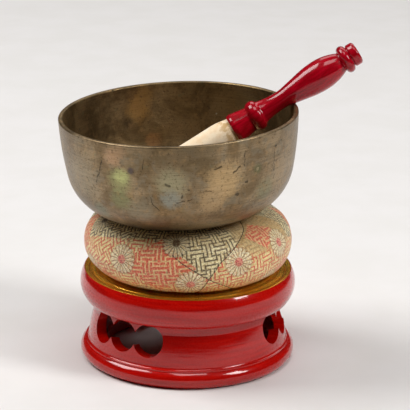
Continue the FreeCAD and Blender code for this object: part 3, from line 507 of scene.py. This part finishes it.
def brocade():
    """Woven brocade: frets and chrysanthemums in ivory, gold, red and black."""
    g = Graph("brocade")
    attribute = {}
    for field in ("cloth", "flower", "zone"):
        made = g.node("ShaderNodeAttribute", attribute_name=field)
        attribute[field] = made.outputs["Vector"]
    where = g.place()
    ragged = g.node("ShaderNodeTexNoise", {"Vector": where, "Scale": 1.1, "Detail": 2.0})
    shake = g.vector("SUBTRACT", ragged.outputs["Color"], (0.5, 0.5, 0.5))
    cloth = g.vector("ADD", attribute["cloth"], g.vector("SCALE", shake, 0.8))
    flower = g.vector("ADD", attribute["flower"], g.vector("SCALE", shake, 0.7))
    zone = g.vector("ADD", attribute["zone"], g.vector("SCALE", shake, 2.2))
    black, orange, faint = g.split(zone)
    black = g.step(black, -0.4, 0.4)
    orange = g.step(orange, -0.4, 0.4)
    faint = g.step(faint, -3.0, 3.0)

    threads = g.noise(g.stretch(cloth, 2.4, 0.9, 1.0), 1.0, 3, 0.75)
    glitter = g.noise(where, 0.95, 3, 0.8)
    clouds = g.noise(where, 0.1, 4, 0.6)
    ivory = g.mix(g.step(glitter, 0.36, 0.6), rgb(188, 154, 90), rgb(255, 244, 196))
    gold = g.mix(g.step(glitter, 0.36, 0.6), rgb(220, 168, 94), rgb(255, 240, 178))
    ground = g.mix(black, gold, ivory)
    red = g.mix(g.step(threads, 0.35, 0.65), rgb(198, 46, 28), rgb(244, 108, 72))
    ink = g.mix(g.step(threads, 0.35, 0.65), rgb(40, 28, 12), rgb(96, 74, 38))
    line = g.mix(black, red, ink)
    ground = g.mix(g.calc("MULTIPLY", faint, 0.55), ground, rgb(186, 142, 84))
    line = g.mix(faint, line, g.mix(0.5, ground, rgb(150, 112, 50)))
    fret = fret_mask(g, cloth)
    colour = g.mix(g.calc("MULTIPLY", fret, 0.92), ground, line)
    dense = g.mix(g.calc("MULTIPLY", fret, 0.85), red, gold)
    dense = g.mix(g.step(glitter, 0.5, 0.58, 0.0, 0.45), dense, rgb(255, 196, 150))
    colour = g.mix(orange, colour, dense)

    petals, outline, heart, kind = flower_marks(g, flower, FLOWER_RADIUS)
    dark_kind = g.calc("GREATER_THAN", kind, 0.5)
    petal = g.mix(g.step(glitter, 0.34, 0.62), rgb(214, 176, 112), rgb(255, 250, 216))
    petal = g.mix(g.calc("MULTIPLY", dark_kind, 0.4), petal, rgb(186, 164, 112))
    outline_colour = g.mix(dark_kind, rgb(140, 84, 36), rgb(52, 38, 18))
    colour = g.mix(g.calc("MULTIPLY", petals, 0.8), colour, petal)
    colour = g.mix(g.calc("MULTIPLY", outline, 0.85), colour, outline_colour)
    dots = g.cells(flower, 0.95)
    heart_colour = g.mix(g.step(dots, 0.35, 0.6), rgb(196, 44, 60), rgb(232, 150, 124))
    heart_colour = g.mix(dark_kind, heart_colour, rgb(64, 46, 24))
    colour = g.mix(heart, colour, heart_colour)
    # Pale flecks of thread, brightened as painted sparkle of the gold threads.
    fleck_and_sparkle = g.step(g.noise(where, 1.2, 2, 0.7), 0.56, 0.64, 0.0, 0.42)
    colour = g.mix(fleck_and_sparkle, colour, rgb(255, 236, 182))
    moved = g.vector("ADD", where, (7.0, 3.0, 5.0))
    shade = g.step(g.noise(moved, 1.1, 3, 0.8), 0.34, 0.46, 0.8, 0.0)
    colour = g.mix(shade, colour, rgb(112, 74, 32))
    colour = g.mix(g.step(clouds, 0.45, 0.65, 0.0, 0.15), colour, rgb(150, 104, 56))

    raised = g.calc("MAXIMUM", g.calc("MULTIPLY", fret, 0.6), petals)
    raised = g.calc("SUBTRACT", raised, g.calc("MULTIPLY", outline, 0.5))
    height = g.calc("ADD", raised, g.calc("MULTIPLY", threads, 0.8))
    height = g.calc("ADD", height, g.calc("MULTIPLY", glitter, 0.7))
    metal = g.blend(fret, g.step(glitter, 0.55, 0.65, 0.0, 0.3), 0.0)
    return g.finish(
        Base_Color=colour,
        Metallic=metal,
        Roughness=g.step(glitter, 0.3, 0.7, 0.6, 0.38),
        Sheen_Weight=0.2,
        Sheen_Roughness=0.5,
        Normal=g.bump(height, 0.7, 0.3),
    )


def smooth(obj):
    for polygon in obj.data.polygons:
        polygon.use_smooth = True
    return obj


def new_object(name, vertices, faces, material):
    mesh = bpy.data.meshes.new(name)
    mesh.from_pydata([tuple(v) for v in vertices], [], faces)
    mesh.validate()
    mesh.update()
    obj = bpy.data.objects.new(name, mesh)
    bpy.context.collection.objects.link(obj)
    mesh.materials.append(material)
    return smooth(obj)


# The cushion

def crown_radius():
    rise = CROWN_TOP - SIDE_LEVEL
    return (SIDE_REACH ** 2 + rise ** 2 - SIDE_RADIUS ** 2) / (2 * (rise - SIDE_RADIUS))


CROWN = crown_radius()
CROWN_CENTRE = CROWN_TOP - CROWN
MEETING = math.atan2(SIDE_LEVEL - CROWN_CENTRE, SIDE_REACH)
CROWN_RUN = CROWN * (math.pi / 2 - MEETING)
SIDE_RUN = SIDE_RADIUS * MEETING
LOW_RUN = SIDE_RADIUS * math.pi / 2


def cushion_profile(run):
    """Radius, height and outward slope at a run up the cloth from the widest line."""
    if run > SIDE_RUN:
        angle = MEETING + (run - SIDE_RUN) / CROWN
        return (CROWN * math.cos(angle), CROWN_CENTRE + CROWN * math.sin(angle), angle)
    if run > -LOW_RUN:
        angle = run / SIDE_RADIUS
        return (SIDE_REACH + SIDE_RADIUS * math.cos(angle),
                SIDE_LEVEL + SIDE_RADIUS * math.sin(angle), angle)
    return (SIDE_REACH - (-LOW_RUN - run), CUSHION_BASE, -math.pi / 2)


# Seams as (heading in degrees, run up the cloth in mm); each also lies half a turn on.
SEAMS = (
    ((-38.0, 38.0), (-47.0, 27.6), (-72.8, 4.2), (-78.5, -6.4), (-81.7, -15.1),
     (-84.5, -29.0)),
    ((-99.0, 10.5), (-93.7, 5.6), (-85.2, -1.0), (-78.5, -6.4), (-65.5, -16.5),
     (-56.0, -29.0)),
)
# Flowers as (heading, run, 1 for the dark kind).
FLOWERS = (
    (-128.1, 3.0, 0.0), (-97.0, 18.6, 1.0), (-61.8, 4.0, 0.0), (-28.7, 8.5, 0.0),
    (-88.5, -9.5, 0.0), (-160.0, 22.0, 1.0), (-158.0, -13.0, 0.0), (-36.0, -18.0, 0.0),
    (-116.0, -24.0, 0.0),
)
# Above this line of (heading, run) the frets are black on ivory, below it red on gold.
BLACK_EDGE = (
    (-200.0, 9.0), (-185.0, 4.0), (-165.0, 6.0), (-150.0, 12.0), (-113.0, 20.4),
    (-93.7, 5.6), (-85.2, -1.0), (-78.5, -6.4), (-72.8, 4.2), (-47.0, 27.6),
    (-44.0, 60.0), (-10.0, 60.0),
)
# Lozenges of dense red and gold: heading, run, then half the width and height in mm.
ORANGE = (
    (-106.5, 2.0, 25.0, 19.0), (-40.5, 19.0, 15.5, 11.5), (-173.0, 5.0, 15.0, 22.0),
    (-143.0, -17.0, 20.0, 8.0), (-24.0, -10.0, 9.0, 8.0),
)
# The heading at which the half that is drawn begins.
FOLD_START = -196.0
# The fret slants left of a heading in degrees and above a run in mm. Turns in radians.
SLANT_HEADING = -126.0
SLANT_RUN = -4.0
SLANT_TURN = -0.7
STRAIGHT_TURN = -0.12


def folded(heading):
    """The heading's twin in the half turn that the cloth's design is drawn for."""
    return (heading - FOLD_START) % 180.0 + FOLD_START


def cloth_across(heading):
    return math.radians(heading) * CLOTH_RADIUS


def seam_distance(heading, run):
    """Distance in mm to the nearest seam."""
    here = Vector((cloth_across(folded(heading)), run))
    nearest = 99.0
    for seam in SEAMS:
        for (h1, r1), (h2, r2) in zip(seam, seam[1:]):
            a = Vector((cloth_across(h1), r1))
            b = Vector((cloth_across(h2), r2))
            along = (here - a).dot(b - a) / (b - a).length_squared
            along = max(0.0, min(1.0, along))
            nearest = min(nearest, (here - a - (b - a) * along).length)
    return nearest


def tree_of(node):
    mesh = NODES[node].data
    return BVHTree.FromPolygons([v.co for v in mesh.vertices],
                                [p.vertices for p in mesh.polygons])


BOWL_TREE = tree_of("bowl")

# The cloth, in mm: seam grooves, the gathers' number, its inset from the solid, the bed
# that it dips to under the round patch, and its clearance under the bowl.
GROOVE_DEPTH = 0.7
GROOVE_WIDTH = 1.5
GATHERS = 34
CLOTH_INSET = 0.2
PATCH_BED = 91.5
PATCH_BED_RADIUS = 15.2
UNDER_BOWL = 70.0
BOWL_GAP = 0.45


def cushion_point(heading, run):
    """A point of the cushion's cloth, in metres, kept under the bowl."""
    radius, height, slope = cushion_profile(run)
    angle = math.radians(heading)
    out = Vector((math.cos(angle), math.sin(angle), 0))
    point = out * radius + Vector((0, 0, height))
    if run >= -LOW_RUN:
        normal = out * math.cos(slope) + Vector((0, 0, math.sin(slope)))
        swell = 0.55 * noise.noise(point * 0.045) + 0.22 * noise.noise(point * 0.16)
        beside = seam_distance(heading, run) / GROOVE_WIDTH
        groove = GROOVE_DEPTH * math.exp(-beside ** 2)
        fold = 0.25 * math.sin(angle * GATHERS + 2.2 * noise.noise(point * 0.03))
        near_centre = max(0.0, min(1.0, (48.0 - radius) / 26.0))
        low = max(0.0, min(1.0, (run + LOW_RUN) / 8.0))
        away = swell * low - groove * low + fold * near_centre - CLOTH_INSET
        point += normal * away
    if radius < PATCH_BED_RADIUS:
        point.z = min(point.z, PATCH_BED)
    start = Vector((point.x, point.y, UNDER_BOWL)) * MM
    hit = BOWL_TREE.ray_cast(start, Vector((0, 0, 1)))[0]
    if hit is not None:
        point.z = min(point.z, hit.z / MM - BOWL_GAP)
    return point * MM


def cushion_rows():
    """The runs of the rows of points, from the underside's middle to the crown's."""
    top = SIDE_RUN + CROWN_RUN
    bottom = -LOW_RUN - SIDE_REACH
    rows = list(np.linspace(bottom + 2.0, -LOW_RUN, 22, endpoint=False))
    rows += list(np.linspace(-LOW_RUN, SIDE_RUN, 56, endpoint=False))
    rows += list(np.linspace(SIDE_RUN, top - 2.0, 44))
    return rows


def corner_fields(heading, run, shift):
    """The cloth's coordinates, nearest flower and colour zones at one corner."""
    here = heading + shift
    across = cloth_across(here)
    edge = np.interp(here, [h for h, _ in BLACK_EDGE], [r for _, r in BLACK_EDGE])
    black = run - edge
    orange = -9.0
    for centre, level, wide, high in ORANGE:
        inner = 1 - abs(across - cloth_across(centre)) / wide - abs(run - level) / high
        orange = max(orange, inner * high)
    faint = min(run - 7.0, (here + 60.0) * 0.9)
    slanted = here < SLANT_HEADING and run > SLANT_RUN
    turn = SLANT_TURN if slanted else STRAIGHT_TURN
    level = math.cos(turn) * across - math.sin(turn) * run
    rise = math.sin(turn) * across + math.cos(turn) * run
    return (level, rise, 0.0), (black, orange, faint)


def build_cushion(material):
    steps = 320
    rows = cushion_rows()
    headings = [360.0 * step / steps - 180.0 for step in range(steps)]
    vertices = [cushion_point(heading, run) for run in rows for heading in headings]
    bottom_centre = len(vertices)
    vertices.append(Vector((0, 0, CUSHION_BASE + 1.0)) * MM)
    vertices.append(Vector((0, 0, PATCH_BED)) * MM)
    faces = []
    corners = []
    for row in range(len(rows) - 1):
        for step in range(steps):
            following = (step + 1) % steps
            faces.append((row * steps + step, row * steps + following,
                          (row + 1) * steps + following, (row + 1) * steps + step))
            corners.append(((step, row), (step + 1, row), (step + 1, row + 1),
                            (step, row + 1)))
    last = (len(rows) - 1) * steps
    for step in range(steps):
        following = (step + 1) % steps
        faces.append((bottom_centre, following, step))
        corners.append(((step, 0), (step + 1, 0), (step, 0)))
        faces.append((bottom_centre + 1, last + step, last + following))
        corners.append(((step, len(rows) - 1), (step, len(rows) - 1),
                        (step + 1, len(rows) - 1)))
    obj = new_object("brocade_cushion", vertices, faces, material)
    fields = {"cloth": [], "flower": [], "zone": []}
    for group in corners:
        middle_heading = sum(360.0 * step / steps - 180.0 for step, _ in group)
        middle_heading /= len(group)
        middle_run = sum(rows[row] for _, row in group) / len(group)
        shift = folded(middle_heading) - middle_heading
        centre = nearest_flower(middle_heading + shift, middle_run)
        for step, row in group:
            heading = 360.0 * step / steps - 180.0
            cloth, zone = corner_fields(heading, rows[row], shift)
            fields["cloth"].append(cloth)
            fields["zone"].append(zone)
            fields["flower"].append((cloth_across(heading + shift - centre[0]),
                                     rows[row] - centre[1], centre[2]))
    for name, values in fields.items():
        layer = obj.data.attributes.new(name, "FLOAT_VECTOR", "CORNER")
        layer.data.foreach_set("vector", np.array(values, dtype=np.float32).ravel())
    return obj


def nearest_flower(heading, run):
    here = Vector((cloth_across(heading), run))
    return min(FLOWERS, key=lambda f: (Vector((cloth_across(f[0]), f[1])) - here).length)


# Stitches: their pitch and length in mm, their thickness in metres, and their sides.
STITCH_PITCH = 2.3
STITCH_LENGTH = 1.5
STITCH_RADIUS = 0.0003
STITCH_SIDES = 8


def build_stitches(material):
    """Dark running stitches that lie in the seams."""
    vertices = []
    faces = []
    for turn in (0.0, 180.0):
        for seam in SEAMS:
            for start, end in stitch_places(seam):
                a = cushion_point(start[0] + turn, start[1])
                b = cushion_point(end[0] + turn, end[1])
                add_stitch(vertices, faces, a, b)
    return new_object("seam_stitches", vertices, faces, material)


def stitch_places(seam):
    """Both ends of each stitch, as heading and run."""
    spots = [Vector((cloth_across(heading), run)) for heading, run in seam]
    places = []
    for a, b in zip(spots, spots[1:]):
        whole = (b - a).length
        count = max(1, int(whole / STITCH_PITCH))
        for index in range(count):
            middle = a + (b - a) * ((index + 0.5) / count)
            half = (b - a).normalized() * (STITCH_LENGTH / 2)
            ends = []
            for point in (middle - half, middle + half):
                ends.append((math.degrees(point.x / CLOTH_RADIUS), point.y))
            places.append(ends)
    return places


def add_stitch(vertices, faces, a, b):
    """A short round-ended thread from a to b."""
    way = (b - a).normalized()
    side = way.orthogonal().normalized()
    other = way.cross(side)
    stations = []
    for shift, size in ((-0.9, 0.35), (-0.6, 0.8), (0.0, 1.0)):
        stations.append((a + way * STITCH_RADIUS * shift, size))
    for shift, size in ((0.0, 1.0), (-0.6, 0.8), (-0.9, 0.35)):
        stations.append((b - way * STITCH_RADIUS * shift, size))
    first = len(vertices)
    for centre, size in stations:
        for step in range(STITCH_SIDES):
            angle = TURN * step / STITCH_SIDES
            out = side * math.cos(angle) + other * math.sin(angle)
            vertices.append(centre + out * STITCH_RADIUS * size)
    for ring in range(len(stations) - 1):
        for step in range(STITCH_SIDES):
            following = (step + 1) % STITCH_SIDES
            low = first + ring * STITCH_SIDES
            high = low + STITCH_SIDES
            faces.append((low + step, low + following, high + following, high + step))
    faces.append(tuple(first + step for step in reversed(range(STITCH_SIDES))))
    last = first + (len(stations) - 1) * STITCH_SIDES
    faces.append(tuple(last + step for step in range(STITCH_SIDES)))


def build_patch(name, base, material):
    """A small round patch with a rolled edge and a dimpled middle."""
    rows = ((0.4, 0.55), (2.0, 0.72), (5.0, 0.86), (9.0, 0.9), (12.2, 0.86), (13.3, 0.7),
            (13.8, 0.45), (13.6, 0.15), (12.9, 0.03), (9.0, 0.0), (0.4, 0.0))
    steps = 72
    vertices = []
    for radius, height in rows:
        for step in range(steps):
            angle = TURN * step / steps
            ripple = 1 + 0.008 * math.sin(angle * 22) * (radius > 11)
            point = Vector((math.cos(angle), math.sin(angle), 0)) * radius * ripple
            vertices.append((point + Vector((0, 0, base + height))) * MM)
    faces = []
    for row in range(len(rows) - 1):
        for step in range(steps):
            following = (step + 1) % steps
            faces.append((row * steps + following, row * steps + step,
                          (row + 1) * steps + step, (row + 1) * steps + following))
    faces.append(tuple(range(steps)))
    faces.append(tuple((len(rows) - 1) * steps + step for step in reversed(range(steps))))
    return new_object(name, vertices, faces, material)


def patch_cloth():
    """Gold twill with a woven lattice."""
    g = Graph("patch_cloth")
    where = g.place()
    x, y, _ = g.split(where)
    twill = g.calc("FRACT", g.calc("MULTIPLY", g.calc("ADD", x, y), 0.8))
    cross = g.calc("FRACT", g.calc("MULTIPLY", g.calc("SUBTRACT", x, y), 0.2))
    glitter = g.noise(where, 1.9, 3, 0.8)
    colour = g.mix(g.step(glitter, 0.3, 0.7), rgb(160, 118, 60), rgb(224, 194, 136))
    colour = g.mix(g.step(cross, 0.8, 0.86), colour, rgb(178, 60, 42))
    height = g.calc("ADD", g.step(twill, 0.2, 0.6), glitter)
    return g.finish(Base_Color=colour, Roughness=0.55, Metallic=0.25,
                    Normal=g.bump(height, 0.6, 0.25))


# The striker's head

# Stations along the striker in mm: where the leather starts in the collar, where the
# collar ends, where the head is full and where its dome starts. Then the radii inside the
# collar and of the head, and how far the rows of points reach up the dome.
HEAD_START = 89.4
COLLAR_END = 93.2
SHOULDER_END = 105.0
DOME_START = 171.8
NECK_RADIUS = 8.05
HEAD_RADIUS = 9.65
DOME_REACH = 9.6


def head_radius(station):
    if station < COLLAR_END:
        return NECK_RADIUS
    if station < SHOULDER_END:
        part = (station - COLLAR_END) / (SHOULDER_END - COLLAR_END)
        return NECK_RADIUS + (HEAD_RADIUS - NECK_RADIUS) * math.sin(part * math.pi / 2)
    if station < DOME_START:
        return HEAD_RADIUS
    return math.sqrt(max(HEAD_RADIUS ** 2 - (station - DOME_START) ** 2, 0.0))


def build_head(material):
    """The leather head, with creases along it and one seam."""
    turn = striker_turn()
    stations = list(np.linspace(HEAD_START, DOME_START, 90, endpoint=False))
    for angle in np.linspace(0, math.pi / 2 - 0.03, 18):
        stations.append(DOME_START + DOME_REACH * math.sin(angle))
    steps = 72
    vertices = []
    for station in stations:
        for step in range(steps):
            angle = TURN * step / steps
            radius = head_radius(station)
            local = Vector((math.cos(angle) * radius, math.sin(angle) * radius, station))
            crease = noise.noise(Vector((local.x * 0.28, local.y * 0.28, station * 0.05)))
            seam = math.exp(-((angle - 2.0) * radius / 0.5) ** 2)
            inner = 0.16 + 0.14 * crease + 0.45 * seam
            radius = max(radius - inner * min(1.0, radius / 5), 0.0)
            local = Vector((math.cos(angle) * radius, math.sin(angle) * radius, station))
            vertices.append((turn @ local + KNOB_END) * MM)
    faces = []
    for row in range(len(stations) - 1):
        for step in range(steps):
            following = (step + 1) % steps
            faces.append((row * steps + step, row * steps + following,
                          (row + 1) * steps + following, (row + 1) * steps + step))
    faces.append(tuple(reversed(range(steps))))
    faces.append(tuple((len(stations) - 1) * steps + step for step in range(steps)))
    return new_object("leather_head", vertices, faces, material)


# Stage, camera and light

def aim(obj, target):
    way = Vector(target) - obj.location
    obj.rotation_euler = way.to_track_quat("-Z", "Y").to_euler()


# The camera: its focal length in pixels, the picture's width, and the pixel that shows
# the middle of the stand's foot, which lies this many metres away.
FOCAL = 2000.0
PICTURE = 410
FLOOR_CENTRE = (187.08, 350.0)
CAMERA_DISTANCE = 1.32


def make_camera():
    """The photograph's view, fitted to the pieces' outlines."""
    elevation = math.radians(21.56)
    roll = math.radians(0.54)
    forward = Vector((0, math.cos(elevation), -math.sin(elevation)))
    right = Vector((1, 0, 0))
    up = right.cross(forward)
    base = Matrix((right, up, -forward)).transposed()
    across, down = (part - PICTURE / 2 for part in FLOOR_CENTRE)
    shown = Vector((across / FOCAL, -down / FOCAL, -1.0)).normalized()
    tilt = shown.rotation_difference(Vector((0, 0, -1))).to_matrix()
    frame_turn = base @ Matrix.Rotation(roll, 3, "Z") @ tilt
    data = bpy.data.cameras.new("camera")
    data.sensor_width = 36.0
    data.lens = data.sensor_width * FOCAL / PICTURE
    data.clip_start = 0.05
    camera = bpy.data.objects.new("camera", data)
    stand_back = Matrix.Translation(forward * -CAMERA_DISTANCE)
    camera.matrix_world = stand_back @ frame_turn.to_4x4()
    bpy.context.collection.objects.link(camera)
    bpy.context.scene.camera = camera


def floor_paint():
    g = Graph("paper")
    where = g.place()
    grain = g.noise(where, 0.02, 3)
    colour = g.mix(g.step(grain, 0.3, 0.7), rgb(220, 217, 214), rgb(223, 220, 218))
    return g.finish(Base_Color=colour, Roughness=0.85, Specular_IOR_Level=0.2)


def make_floor():
    half = 3.0
    level = -0.0002
    vertices = [(x, y, level) for x, y in ((-half, -half), (half, -half), (half, half),
                                           (-half, half))]
    floor = new_object("floor", vertices, [(0, 1, 2, 3)], floor_paint())


def softbox(name, place, size, power):
    data = bpy.data.lights.new(name, "AREA")
    data.shape = "RECTANGLE"
    data.size, data.size_y = size
    data.energy = power
    light = bpy.data.objects.new(name, data)
    light.location = place
    aim(light, (0, 0, 0.08))
    bpy.context.collection.objects.link(light)


def make_light():
    """Soft boxes at the left, the right front, behind and above, in a dark room."""
    softbox("key", (-1.6, 0.23, 2.2), (1.35, 1.35), 53.0)
    softbox("fill", (1.75, -0.84, 1.75), (0.64, 1.07), 36.0)
    softbox("back", (0.5, 2.3, 2.5), (3.0, 1.6), 28.0)
    softbox("top", (0.1, -0.5, 2.4), (1.0, 1.0), 15.5)
    world = bpy.data.worlds.new("room")
    world.use_nodes = True
    background = world.node_tree.nodes["Background"]
    background.inputs["Color"].default_value = (1.0, 0.97, 0.93, 1)
    background.inputs["Strength"].default_value = 0.02
    bpy.context.scene.world = world
    bpy.context.scene.view_settings.view_transform = "Standard"


def dress(material, *names):
    for name in names:
        node = NODES[name]
        node.data.materials.clear()
        node.data.materials.append(material)


def main():
    make_camera()
    make_floor()
    make_light()
    dress(red_lacquer(), "foot_ring", "openwork_drum", "top_ring")
    dress(gold_leaf(), "gilt_seat_ring")
    wood = plain_wood()
    dress(wood, "seat_board", "striker_core")
    dress(patinated_bronze(), "bowl")
    dress(striker_lacquer("handle_lacquer", 0.7), "striker_handle")
    dress(striker_lacquer("collar_lacquer", 0.55), "striker_collar")

    cushion = build_cushion(brocade())
    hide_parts("cushion_cover", "cushion_filling", "top_gather_thread",
                "bottom_gather_thread")
    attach(cushion, "cushion")
    stitches = build_stitches(dark_thread())
    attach(stitches, "cushion")
    cloth = patch_cloth()
    for name, base, node in (("top_patch_cloth", 91.7, "cushion_top_patch"),
                             ("bottom_patch_cloth", 58.55, "cushion_bottom_patch")):
        patch = build_patch(name, base, cloth)
        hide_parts(node)
        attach(patch, "cushion")
    head = build_head(pale_leather())
    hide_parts("head_leather", "head_padding")
    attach(head, "striker")


main()
